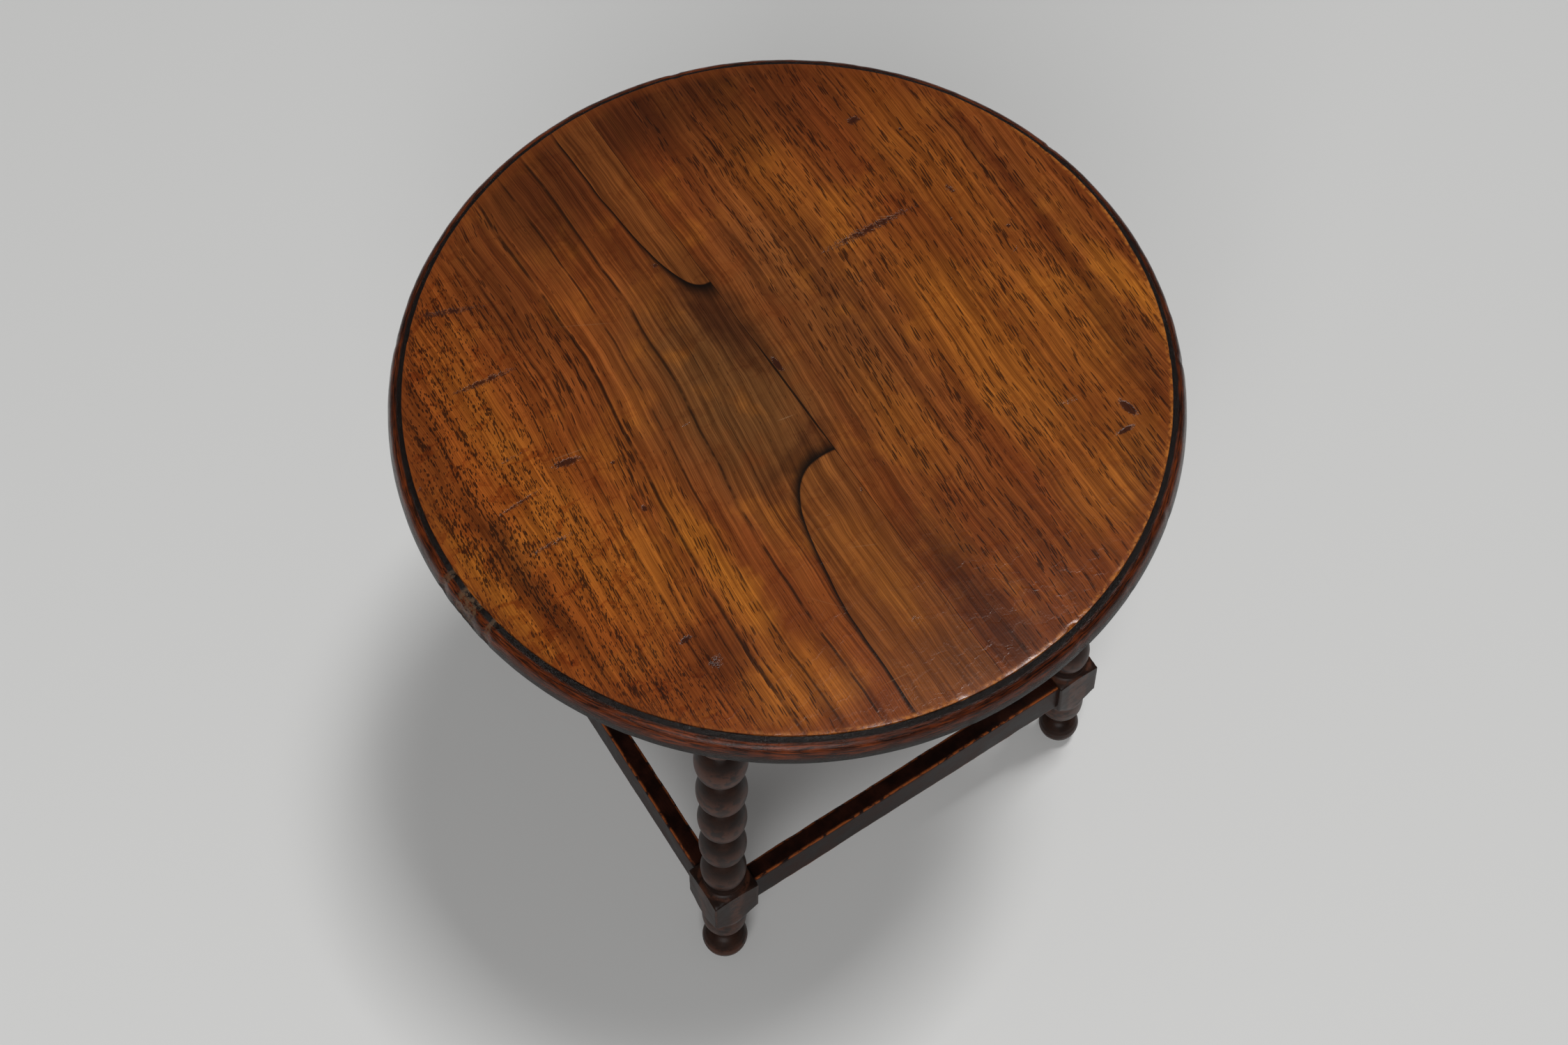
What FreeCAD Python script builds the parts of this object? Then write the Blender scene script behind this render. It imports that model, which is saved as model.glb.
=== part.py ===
import FreeCAD, Part
import math
import os

os.makedirs("parts", exist_ok=True)
V = FreeCAD.Vector

# A round-topped joined stool: two boards on four splayed, bobbin-turned legs,
# tied by aprons under the top and by a square of stretchers near the floor.
# Millimetres, Z up, origin on the floor below the centre of the top.

# overall
stool_height = 465.0
top_diameter = 453.0
splay_angle = 3.25           # each leg leans out by this, seen from the front and from the side
foot_spread = 150.0          # leg axis at the floor, out from the centre in X and in Y
overrun = 5.0                # how far a cutting solid passes the wood it cuts

# round top
top_thickness = 18.0
joint_offset = -5.0          # glue joint between the two boards, in X
arris_inset = 10.2           # the worn upper arris, in from the widest line
quirk_depth = 1.6            # small square step under the arris
quirk_run = 0.4
cove_inset = 7.0             # outer end of the sloping cove
cove_depth = 2.8
roll_inset = 1.9             # outer end of the thumb roll
roll_depth = 7.6
roll_bulge = 1.3
edge_depth = 15.0            # widest line of the edge, below the upper face
edge_bulge = 0.5
chamfer_run = 4.0            # bevel under the edge

# dowels that line up the two boards
dowel_diameter = 8.0
dowel_length = 50.0
dowel_pitch = 150.0
dowel_count = 3
dowel_relief = 1.0           # room past each end of a dowel

# legs, heights measured along the leg from the floor
stock_width = 33.0           # square of the leg blank
ball_radius = 15.8
ball_centre = 15.1
neck_radius = 9.5
collar_bottom = 51.0
collar_bottom_radius = 13.8
collar_radius = 15.8
collar_middle = 62.0
collar_top = 75.0
collar_top_radius = 15.3
block_bottom = 93.0          # lower corners of the stretcher block
block_top = 130.0            # upper corners of the stretcher block
shoulder_rise = 3.2          # height of a turned shoulder above or below a block
shoulder_sag = 1.4           # hollow of the shoulder's curve
fillet_radius = 13.6
fillet_height = 2.4
first_bead_centre = 153.0
bead_pitch = 43.7
bead_radius = 15.9
groove_radius = 7.6
full_beads = 5               # beads above the lowest one
apron_block_gap = 1.2        # plain neck between the last groove and the upper block

# aprons and stretchers
rail_setback = 3.9           # outer face of a rail, in from the face of the block
apron_height = 46.0
apron_thickness = 18.0
stretcher_height = 37.0
stretcher_thickness = 13.3
stretcher_bottom = 91.0
stretcher_arris = 0.8
tenon_thickness = 8.0
apron_tenon_height = 30.0
apron_tenon_length = 13.5
stretcher_tenon_height = 25.0
stretcher_tenon_length = 16.0
mortice_relief = 1.0         # room past the end of a tenon

# glue blocks in the angle of apron and top
glue_block_length = 60.0
glue_block_leg = 20.0

# pocket screws that pull the top down
screw_spacing = 130.0
screw_diameter = 4.0
screw_head_diameter = 8.0
screw_head_height = 3.0
screw_slot_width = 1.0
screw_slot_depth = 1.2
screw_length = 30.0
screw_lean = 12.0            # degrees from the plane of the apron
screw_bite = 11.0            # depth of the screw in the top
pocket_diameter = 12.0

# worked out
splay = math.tan(math.radians(splay_angle))
lean = math.sqrt(1 + 2 * splay ** 2)         # leg length per unit of height
half_stock = stock_width / 2
top_radius = top_diameter / 2
underside = stool_height - top_thickness
corner_radius = half_stock * math.sqrt(2) + mortice_relief
quarter_turns = ["front", "right", "back", "left"]
leg_names = ["leg_front_left", "leg_front_right", "leg_back_right", "leg_back_left"]


def line(a, b):
    return Part.LineSegment(a, b).toShape()


def arc(a, mid, b):
    return Part.Arc(a, mid, b).toShape()


def bowed(a, b, bulge):
    """An arc from a to b in the XZ plane that bulges to the right of its travel."""
    run = b - a
    side = V(run.z, 0, -run.x).normalize() * bulge
    return arc(a, (a + b) / 2 + side, b)


def revolved(edges):
    face = Part.Face(Part.Wire(edges))
    return face.revolve(V(0, 0, 0), V(0, 0, 1), 360)


def turned_quarter(shape, quarter):
    copy = shape.copy()
    copy.rotate(V(0, 0, 0), V(0, 0, 1), 90 * quarter)
    return copy


# round top

def top_disc():
    arris = V(top_radius - arris_inset, 0, stool_height)
    step = V(top_radius - arris_inset + quirk_run, 0, stool_height - quirk_depth)
    cove_end = V(top_radius - cove_inset, 0, stool_height - cove_depth)
    roll_end = V(top_radius - roll_inset, 0, stool_height - roll_depth)
    widest = V(top_radius, 0, stool_height - edge_depth)
    bevel_end = V(top_radius - chamfer_run, 0, underside)
    centre_low = V(0, 0, underside)
    centre_high = V(0, 0, stool_height)
    edges = [line(centre_high, arris), line(arris, step), line(step, cove_end),
             bowed(cove_end, roll_end, -roll_bulge), bowed(roll_end, widest, -edge_bulge),
             line(widest, bevel_end), line(bevel_end, centre_low), line(centre_low, centre_high)]
    return revolved(edges)


def dowel_places():
    first = -dowel_pitch * (dowel_count - 1) / 2
    return [first + dowel_pitch * i for i in range(dowel_count)]


def dowels(length):
    height = stool_height - top_thickness / 2
    return [Part.makeCylinder(dowel_diameter / 2, length, V(joint_offset - length / 2, y, height), V(1, 0, 0))
            for y in dowel_places()]


# legs

def bead_arc(low, high, centre):
    """Half outline of one bobbin: part of an ellipse whose ends are cut off at the grooves."""
    half_pitch = bead_pitch / 2
    half_height = half_pitch / math.sqrt(1 - (groove_radius / bead_radius) ** 2)

    def point(z):
        return V(bead_radius * math.sqrt(1 - ((z - centre) / half_height) ** 2), 0, z)

    ellipse = Part.Ellipse(V(0, 0, centre + half_height), V(bead_radius, 0, centre), V(0, 0, centre))
    start = ellipse.parameter(point(low))
    end = ellipse.parameter(point(high))
    full_turn = 2 * math.pi
    if (end - start) % full_turn > math.pi:
        start, end = end, start
    edge = Part.Edge(Part.ArcOfEllipse(ellipse, start, end if end > start else end + full_turn))
    return edge, point(low), point(high)


def turned_leg():
    ball_low = V(0, 0, ball_centre - ball_radius)
    ball_top = V(neck_radius, 0, ball_centre + math.sqrt(ball_radius ** 2 - neck_radius ** 2))
    neck_top = V(neck_radius, 0, collar_bottom)
    collar_low = V(collar_bottom_radius, 0, collar_bottom)
    collar_mid = V(collar_radius, 0, collar_middle)
    collar_high = V(collar_top_radius, 0, collar_top)
    block_low = V(corner_radius, 0, block_bottom)
    block_high = V(corner_radius, 0, block_top)
    ring_low = V(fillet_radius, 0, block_top + shoulder_rise)
    ring_high = V(fillet_radius, 0, block_top + shoulder_rise + fillet_height)
    edges = [arc(ball_low, V(ball_radius, 0, ball_centre), ball_top), line(ball_top, neck_top),
             line(neck_top, collar_low), arc(collar_low, collar_mid, collar_high),
             bowed(collar_high, block_low, shoulder_sag), line(block_low, block_high),
             bowed(block_high, ring_low, -shoulder_sag), line(ring_low, ring_high)]

    bead, low, high = bead_arc(ring_high.z, first_bead_centre + bead_pitch / 2, first_bead_centre)
    edges += [line(ring_high, low), bead]
    for i in range(full_beads):
        centre = first_bead_centre + bead_pitch * (i + 1)
        bead, low, high = bead_arc(centre - bead_pitch / 2, centre + bead_pitch / 2, centre)
        edges.append(bead)

    neck_end = high + V(0, 0, apron_block_gap)
    upper_ring = V(fillet_radius, 0, neck_end.z)
    upper_ring_end = upper_ring + V(0, 0, fillet_height)
    upper_block = V(corner_radius, 0, upper_ring_end.z + shoulder_rise)
    leg_end = V(corner_radius, 0, underside * lean + stock_width)
    axis_end = V(0, 0, leg_end.z)
    edges += [line(high, neck_end), line(neck_end, upper_ring), line(upper_ring, upper_ring_end),
              bowed(upper_ring_end, upper_block, -shoulder_sag), line(upper_block, leg_end),
              line(leg_end, axis_end), line(axis_end, ball_low)]
    round_leg = revolved(edges)
    blank = Part.makeBox(stock_width, stock_width, leg_end.z + stock_width,
                         V(-half_stock, -half_stock, -stock_width))
    return round_leg.common(blank)


def stood_leg():
    """The front left leg, leaned out and cut level at the floor and under the top."""
    leg = turned_leg()
    up = V(splay, splay, 1)
    leg.Placement = FreeCAD.Placement(V(-foot_spread, -foot_spread, 0), FreeCAD.Rotation(V(0, 0, 1), up))
    room = Part.makeBox(top_diameter, top_diameter, underside, V(-top_radius, -top_radius, 0))
    return leg.common(room)


# one side frame, in the sloping plane of the two front legs

def on_front(shape):
    """Moves a shape from the side's own frame (x along, y inward, z up the slope) to its place."""
    shape.Placement = FreeCAD.Placement(V(0, -foot_spread, 0),
                                        FreeCAD.Rotation(V(1, 0, 0), -splay_angle)).multiply(shape.Placement)
    return shape


def slope_height(z):
    return z / math.cos(math.radians(splay_angle))


def axis_x(z):
    return foot_spread - splay * z


def rail_box(bottom, height, thickness):
    reach = axis_x(bottom + height)
    return Part.makeBox(2 * reach, thickness, height, V(-reach, rail_setback - half_stock, bottom))


def tenon_bar(bottom, height, rail_height, thickness, length):
    """One bar through the rail whose two ends are the tenons."""
    reach = axis_x(bottom + rail_height / 2) - half_stock + length
    inset = rail_setback - half_stock + (thickness - tenon_thickness) / 2
    low = bottom + (rail_height - height) / 2
    return Part.makeBox(2 * reach, tenon_thickness, height, V(-reach, inset, low))


apron_top = slope_height(underside) + apron_thickness * splay
apron_bottom = slope_height(underside) - apron_height


def apron_blank():
    box = rail_box(apron_bottom, apron_top - apron_bottom, apron_thickness)
    room = Part.makeBox(top_diameter, top_diameter, underside, V(-top_radius, -top_radius, 0))
    return on_front(box).common(room)


def stretcher_blank():
    box = rail_box(stretcher_bottom, stretcher_height, stretcher_thickness)
    long_edges = [e for e in box.Edges if abs(e.Vertexes[0].X - e.Vertexes[1].X) > stretcher_height]
    return on_front(box.makeFillet(stretcher_arris, long_edges))


def apron_tenons(extra):
    return on_front(tenon_bar(apron_bottom, apron_tenon_height, apron_height, apron_thickness,
                              apron_tenon_length + extra))


def stretcher_tenons(extra):
    return on_front(tenon_bar(stretcher_bottom, stretcher_tenon_height, stretcher_height,
                              stretcher_thickness, stretcher_tenon_length + extra))


# pocket screws in the front apron

screw_rise = screw_length - screw_bite
pocket_reach = apron_height


def screw_axes():
    """Head place and direction of each screw, worked out in the apron's own frame."""
    angle = math.radians(screw_lean)
    direction = V(0, -math.sin(angle), math.cos(angle))
    middle = rail_setback - half_stock + apron_thickness / 2
    exit_height = slope_height(underside)
    axes = []
    for side in (-1, 1):
        exit_point = V(side * screw_spacing / 2, middle, exit_height)
        axes.append((exit_point - direction * screw_rise, direction))
    return axes


def screw(head, direction):
    shank = Part.makeCylinder(screw_diameter / 2, screw_length, head, direction)
    cone = Part.makeCone(screw_head_diameter / 2, screw_diameter / 2, screw_head_height, head, direction)
    slot = Part.makeBox(screw_head_diameter, screw_slot_width, screw_slot_depth * 2,
                        V(-screw_head_diameter / 2, -screw_slot_width / 2, -screw_slot_depth))
    slot.Placement = FreeCAD.Placement(head, FreeCAD.Rotation(V(0, 0, 1), direction)).multiply(slot.Placement)
    return on_front(shank.fuse(cone).cut(slot).removeSplitter())


def screw_bore(head, direction):
    pocket = Part.makeCylinder(pocket_diameter / 2, pocket_reach, head, direction * -1)
    shank = Part.makeCylinder(screw_diameter / 2, screw_length, head, direction)
    cone = Part.makeCone(screw_head_diameter / 2, screw_diameter / 2, screw_head_height, head, direction)
    return on_front(pocket.fuse(shank).fuse(cone))


def glue_block():
    """A three-cornered block rubbed into the angle of apron and top."""
    inner = rail_setback - half_stock + apron_thickness
    face_y = -foot_spread + inner / math.cos(math.radians(splay_angle)) + underside * splay
    corner = V(-glue_block_length / 2, face_y, underside)
    inward = corner + V(0, glue_block_leg, 0)
    down = corner + V(0, -glue_block_leg * splay, -glue_block_leg)
    wire = Part.makePolygon([corner, inward, down, corner])
    return Part.Face(wire).extrude(V(glue_block_length, 0, 0))


# put together

def save(shape, node):
    solids = shape.Solids
    if not solids:
        raise ValueError("no solid in " + node)
    body = solids[0] if len(solids) == 1 else Part.makeCompound(solids)
    body.exportStep("parts/" + node + ".step")
    print(node, len(solids), "solids", round(body.Volume), "mm3", "valid", body.isValid())


plain_leg = stood_leg()
leg_pair = [plain_leg, turned_quarter(plain_leg, 1)]
screws = [screw(head, direction) for head, direction in screw_axes()]
bores = [screw_bore(head, direction) for head, direction in screw_axes()]

apron = apron_blank().cut(leg_pair).fuse(apron_tenons(0)).removeSplitter().cut(bores)
stretcher = stretcher_blank().cut(leg_pair).fuse(stretcher_tenons(0)).removeSplitter()
mortices = [apron_tenons(mortice_relief), stretcher_tenons(mortice_relief)]
mortices += [turned_quarter(shape, -1) for shape in mortices]
leg = plain_leg.cut(mortices)
block = glue_block()

top_bores = [turned_quarter(bore, quarter) for bore in bores for quarter in range(4)]
disc = top_disc().cut(dowels(dowel_length + 2 * dowel_relief)).cut(top_bores)
left_half = Part.makeBox(top_radius + joint_offset + overrun, top_diameter + 2 * overrun,
                         top_thickness + 2 * overrun,
                         V(-top_radius - overrun, -top_radius - overrun, underside - overrun))
save(disc.common(left_half), "top_board_left")
save(disc.cut(left_half), "top_board_right")
save(Part.makeCompound(dowels(dowel_length)), "top_dowels")

for quarter, name in enumerate(leg_names):
    save(turned_quarter(leg, quarter), name)
for quarter, side in enumerate(quarter_turns):
    save(turned_quarter(apron, quarter), "apron_" + side)
    save(turned_quarter(stretcher, quarter), "stretcher_" + side)
    save(turned_quarter(block, quarter), "glue_block_" + side)
save(Part.makeCompound([turned_quarter(one, quarter) for one in screws for quarter in range(4)]), "top_screws")
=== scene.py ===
import math
import bmesh
import bpy
from mathutils import Euler, Matrix, Vector


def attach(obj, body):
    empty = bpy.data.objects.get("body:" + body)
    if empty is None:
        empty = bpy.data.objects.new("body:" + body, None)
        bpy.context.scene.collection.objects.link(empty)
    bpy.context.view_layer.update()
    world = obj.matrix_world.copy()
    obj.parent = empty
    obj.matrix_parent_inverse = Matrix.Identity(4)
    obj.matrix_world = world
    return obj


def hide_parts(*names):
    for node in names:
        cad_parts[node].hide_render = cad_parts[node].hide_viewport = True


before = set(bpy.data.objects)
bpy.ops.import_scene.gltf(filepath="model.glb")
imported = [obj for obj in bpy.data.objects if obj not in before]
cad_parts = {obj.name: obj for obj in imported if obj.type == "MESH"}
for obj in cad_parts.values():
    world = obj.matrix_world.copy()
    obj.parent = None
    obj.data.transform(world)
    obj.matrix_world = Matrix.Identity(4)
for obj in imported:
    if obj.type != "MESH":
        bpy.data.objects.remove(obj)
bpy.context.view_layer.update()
scene = bpy.context.scene
scene.view_settings.view_transform = "Standard"


def hexColour(text):  # sRGB hex to the linear values that Blender wants
    parts = [int(text[i:i + 2], 16) / 255 for i in (1, 3, 5)]
    return tuple(p / 12.92 if p <= 0.04045 else ((p + 0.055) / 1.055) ** 2.4 for p in parts) + (1,)


# settings that most nodes of a kind share here
usualSettings = {"Math": {"operation": "MULTIPLY"}, "MapRange": {"interpolation_type": "SMOOTHSTEP"},
                 "Mix": {"data_type": "RGBA"}}


# values or links for the first inputs in order, then settings and inputs by name
def addNode(tree, kind, *values, **named):
    node = tree.nodes.new(kind if kind.startswith("GeometryNode") else "ShaderNode" + kind)
    named = {**usualSettings.get(kind, {}), **named}
    for name in [name for name in named if name[0].islower()]:  # a small first letter: a setting of the node itself
        setattr(node, name, named.pop(name))
    inputs = list(zip([socket for socket in node.inputs if socket.enabled], values))
    inputs += [(node.inputs[name.replace("_", " ")], value) for name, value in named.items()]
    for socket, value in inputs:
        if isinstance(value, bpy.types.NodeSocket):
            tree.links.new(value, socket)
        else:
            socket.default_value = value
    outputs = [socket for socket in node.outputs if socket.enabled]
    return outputs[0] if len(outputs) == 1 else node.outputs


def newMaterial(name):
    material = bpy.data.materials.new(name)
    material.use_nodes = True
    tree = material.node_tree
    tree.nodes.clear()
    shader = tree.nodes.new("ShaderNodeBsdfPrincipled")
    output = tree.nodes.new("ShaderNodeOutputMaterial")
    tree.links.new(shader.outputs[0], output.inputs["Surface"])
    return material, tree, shader


def objectPlace(tree):  # place on the part in millimetres
    return addNode(tree, "VectorMath", addNode(tree, "TexCoord")["Object"], Scale=1000.0, operation="SCALE")


def dressSurface(tree, shader, colour, roughness, relief, strength, depth):  # depth of the relief in metres
    tree.links.new(colour, shader.inputs["Base Color"])
    tree.links.new(roughness, shader.inputs["Roughness"])
    tree.links.new(addNode(tree, "Bump", Height=relief, Strength=strength, Distance=depth), shader.inputs["Normal"])


# camera, where the photographer stood
cameraSettings = {"place": (-0.3088, -0.4693, 1.4324), "down": 64.218, "heading": -33.175, "roll": 0.199,
                  "lens": 45.56, "sensor": 36}


def placeCamera(s):
    data = bpy.data.cameras.new("camera")
    data.lens = s["lens"]
    data.sensor_width = s["sensor"]
    camera = bpy.data.objects.new("camera", data)
    scene.collection.objects.link(camera)
    turn = Euler((math.radians(90 - s["down"]), 0, math.radians(s["heading"]))).to_matrix().to_4x4()
    camera.matrix_world = Matrix.Translation(s["place"]) @ turn @ Matrix.Rotation(math.radians(s["roll"]), 4, "Z")
    scene.camera = camera


placeCamera(cameraSettings)
print("camera placed")

# plain matt floor, which only catches the shadow, and soft light from a high lamp and a low one at the left
floorSettings = {"size": 8.0, "colour": "#c4c4c3"}
lightSettings = {"world": 0.17, "backdrop": 0.75, "key": 275.0, "keySize": 1.3, "keyPlace": (1.6, 0.2, 6.9),
                 "fill": 98.0, "fillSize": 2.2, "fillPlace": (-1.9, -2.4, 2.9)}


def makeFloor(s):
    half = s["size"] / 2
    mesh = bpy.data.meshes.new("floor")
    mesh.from_pydata([(-half, -half, 0), (half, -half, 0), (half, half, 0), (-half, half, 0)], [], [(0, 1, 2, 3)])
    floor = bpy.data.objects.new("floor", mesh)
    scene.collection.objects.link(floor)
    material, tree, shader = newMaterial("plainFloor")
    shader.inputs["Base Color"].default_value = hexColour(s["colour"])
    shader.inputs["Roughness"].default_value = 0.9
    floor.data.materials.append(material)


def makeLight(name, power, size, place):
    data = bpy.data.lights.new(name, "AREA")
    data.energy = power
    data.size = size
    lamp = bpy.data.objects.new(name, data)
    lamp.location = place
    lamp.rotation_euler = (Vector((0, 0, 0.3)) - Vector(place)).to_track_quat("-Z", "Y").to_euler()
    scene.collection.objects.link(lamp)


def lightScene(s):
    world = bpy.data.worlds.new("studio")
    world.use_nodes = True
    scene.world = world
    background = world.node_tree.nodes["Background"]
    background.inputs["Color"].default_value = hexColour("#ffffff")
    rays = addNode(world.node_tree, "LightPath")
    strength = addNode(world.node_tree, "Math", rays["Is Camera Ray"], s["backdrop"] - s["world"], s["world"],
            operation="MULTIPLY_ADD")
    world.node_tree.links.new(strength, background.inputs["Strength"])  # pale behind the stool, dim on it
    makeLight("key", s["key"], s["keySize"], s["keyPlace"])
    makeLight("fill", s["fill"], s["fillSize"], s["fillPlace"])


makeFloor(floorSettings)
lightScene(lightSettings)
print("floor and light made")

# waxed walnut of the top: amber-brown stain under old wax, pores as short dark dashes along Y, two growth
# rings that end in tongues at the joint, a century of dents, burns and scratches. Sizes in millimetres.
walnut = {
    "deep": "#2f1509", "amber": "#794019", "bright": "#96581b", "orange": "#7f3f12", "olive": "#5a3a1d",
    "red": "#653011", "tongue": "#693c19", "black": "#0e0704", "pore": "#190b05", "pale": "#98795a",
    "dent": "#2a120b", "rubbed": "#9a5c24", "rollDark": "#1a0a04", "rollRed": "#5a270c", "cove": "#0d0705",
    "rawWood": "#54402e",
    # tones that only darken or lighten the colour under them
    "fineTones": ((0.62, 0.58, 0.55, 1), (1.26, 1.28, 1.3, 1)),
    "fibreTones": ((0.66, 0.63, 0.6, 1), (1.24, 1.26, 1.28, 1)),
    "rippleTone": (0.66, 0.5, 0.42, 1), "rollTones": ((0.45, 0.4, 0.4, 1), (1.3, 1.25, 1.2, 1)),
    "bandWidth": 13.0, "bandLength": 380.0, "streakWidth": 2.4, "streakLength": 120.0, "fibreWidth": 0.45,
    "fibreLength": 45.0, "speckWidth": 0.6, "speckLength": 1.8, "dashWidth": 0.55, "dashLength": 5.5,
    "rowWidth": 5.0, "rowLength": 70.0, "rippleWidth": 26.0, "rippleLength": 6.5, "cloud": 45.0, "shift": 19.0,
    "roughness": 0.11, "gloss": 0.15, "joint": -5.0, "arrisRadius": 216.3, "rollFrom": (218.9, 220.4),
    "rollTo": (226.2, 224.6), "tongueBend": 2.6, "plankStep": 400.0,
    # growth rings with blunt ends: x and y of the middle of the open end, half width, length, halo
    "tongues": ((-12.0, -205.0, 43.0, 149.5, 0.075), (-5.0, 215.0, 24.0, 141.0, 0.11)),
    # dark lines left between the rings: x at the far edge, half width, strength
    "ringLines": ((-91.0, 0.6, 0.8), (-71.7, 0.4, 0.7), (-53.0, 0.5, 0.8), (-37.0, 0.25, 0.45), (-99.0, 0.3, 0.5),
        (-118.0, 0.35, 0.6), (24.0, 0.5, 0.35), (62.0, 0.35, 0.45), (95.0, 0.4, 0.5), (133.0, 0.35, 0.5),
        (174.0, 0.4, 0.5)),
    # stains, with painted shade in the wide dark spots along the far edge: x, y, half width, half length, turn in
    # degrees, strength
    "darkStainsAndFarShade": ((-14, 52, 12, 42, 6, 0.95), (-20, -46, 24, 9, 18, 0.7), (8, -182, 15, 70, 2, 0.7),
        (-24, -190, 19, 17, 0, 0.6), (132, -156, 10, 30, -30, 0.4), (-124, -125, 18, 16, 0, 0.45),
        (30, 205, 140, 40, 0, 0.85), (-60, 178, 48, 50, 0, 0.7), (-112, 150, 20, 60, 0, 0.5),
        (-197, 66, 11, 52, -12, 0.55), (-187, -22, 8, 62, 4, 0.7), (182, 60, 9, 62, 6, 0.35),
        (172, -84, 11, 46, -8, 0.4), (76, 170, 60, 34, 10, 0.5)),
    "paleStains": ((-158, 64, 13, 60, 2, 0.35), (-152, -26, 17, 56, 6, 0.5), (-97, -80, 9, 50, 4, 0.9),
        (66, 116, 20, 50, 4, 0.3), (104, -50, 24, 80, 2, 0.55), (37, -62, 14, 36, 0, 0.35),
        (-27, -116, 13, 30, 10, 0.45), (-100, -160, 24, 22, 0, 0.5), (199, -80, 9, 60, 8, 0.9),
        (120, -150, 40, 24, 32, 0.45), (150, -60, 24, 60, 0, 0.4), (148, 70, 22, 70, 0, 0.3),
        (-206, -30, 8, 56, 6, 0.8), (-128, -60, 14, 34, 0, 0.5), (-26, -146, 8, 22, 0, 0.7)),
    "oliveStains": ((-32, 6, 44, 78, 0, 0.85), (34, 20, 40, 90, 0, 0.45)),
    "redStains": ((-10, -180, 120, 52, 0, 0.8), (-150, -150, 50, 50, 0, 0.5), (120, 150, 70, 50, 0, 0.5),
        (-150, 120, 50, 50, 0, 0.4)),
    # dents, burns and gouges: x, y, half width, half length, turn, strength
    "dents": ((-133, 17.5, 9, 2.6, -12, 0.75), (128, 124.4, 5, 3.6, 0, 0.7), (92, 54.4, 36, 3.4, -2, 0.62),
        (148, 52, 2.2, 5, 10, 0.6), (121, -102, 7, 1.4, -10, 0.5), (146.6, -122.8, 2.6, 6.8, 12, 0.95),
        (137, -133.3, 6.2, 1.6, 0, 0.85), (156, -3.3, 5, 1.6, 20, 0.45), (-134, -107.5, 4, 1.7, 0, 0.85),
        (-127, -127, 6, 4.5, 30, 0.5), (-112, -29.7, 1.4, 2.2, 0, 0.95), (-25.8, 100.8, 2.2, 2.8, 0, 0.6),
        (161.7, 12, 1.6, 1.2, 0, 0.9), (-208.6, 46.7, 1.9, 1.5, 0, 0.8), (-26, -163, 6, 5, 0, 0.35),
        (147.8, 103.6, 1.2, 1.2, 0, 0.9), (-112, 3.6, 1.3, 1.2, 0, 0.9), (-2.4, 7.0, 1.5, 5.0, 0, 1.0),
        (-7, -85, 0.6, 2.2, -30, 0.8), (-167, 10, 17, 1.5, 4, 0.6), (-165, -21, 18, 1.6, -2, 0.58),
        (-146, 87, 24, 2.4, -6, 0.62), (-141, 138, 22, 2.6, -22, 0.6), (-160, 36, 14, 1.4, 3, 0.5),
        (-66, 2, 3, 0.5, 0, 0.7), (68, 27.5, 1.0, 1.0, 0, 0.8), (136, 34, 1.8, 0.6, 0, 0.8),
        (-31, -87, 2.4, 0.5, -30, 0.8)),
    # hairline scratches: x, y, half width, half length, turn, strength
    "scratches": ((-17, -24.5, 0.35, 4, 80, 0.8), (-130, 21.5, 0.4, 9, 80, 0.5), (106, 56, 0.3, 5, 60, 0.6),
        (-80, 88, 0.25, 14, 62, 0.35), (-52, -186, 0.3, 9, 84, 0.5), (-25, -113, 0.3, 7, 65, 0.4),
        (121, -100.4, 0.3, 7, 84, 0.4), (-60, -130, 0.2, 12, 40, 0.3)),
}


def softSpots(tree, place, spots, edge):  # strongest of several soft oval spots at a point
    total = None
    for x, y, halfWidth, halfLength, turn, strength in spots:
        moved = addNode(tree, "VectorMath", place, (x, y, 0), operation="SUBTRACT")
        turned = addNode(tree, "VectorRotate", moved, Angle=-math.radians(turn), rotation_type="Z_AXIS")
        local = addNode(tree, "VectorMath", turned, (1 / halfWidth, 1 / halfLength, 0), operation="MULTIPLY")
        distance = addNode(tree, "VectorMath", local, operation="LENGTH")
        spot = addNode(tree, "MapRange", distance, From_Min=1 + edge, From_Max=1 - edge, To_Min=0, To_Max=strength)
        total = spot if total is None else addNode(tree, "Math", total, spot, operation="MAXIMUM")
    return total


def streaks(tree, place, width, length, detail=3.0, offset=0.0):  # noise drawn out along the grain
    local = addNode(tree, "Mapping", place, Location=(offset, offset * 0.7, 0),
            Scale=(1 / width, 1 / length, 1 / width))
    return addNode(tree, "TexNoise", local, Scale=1.0, Detail=detail, Roughness=0.6)[0]


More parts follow.
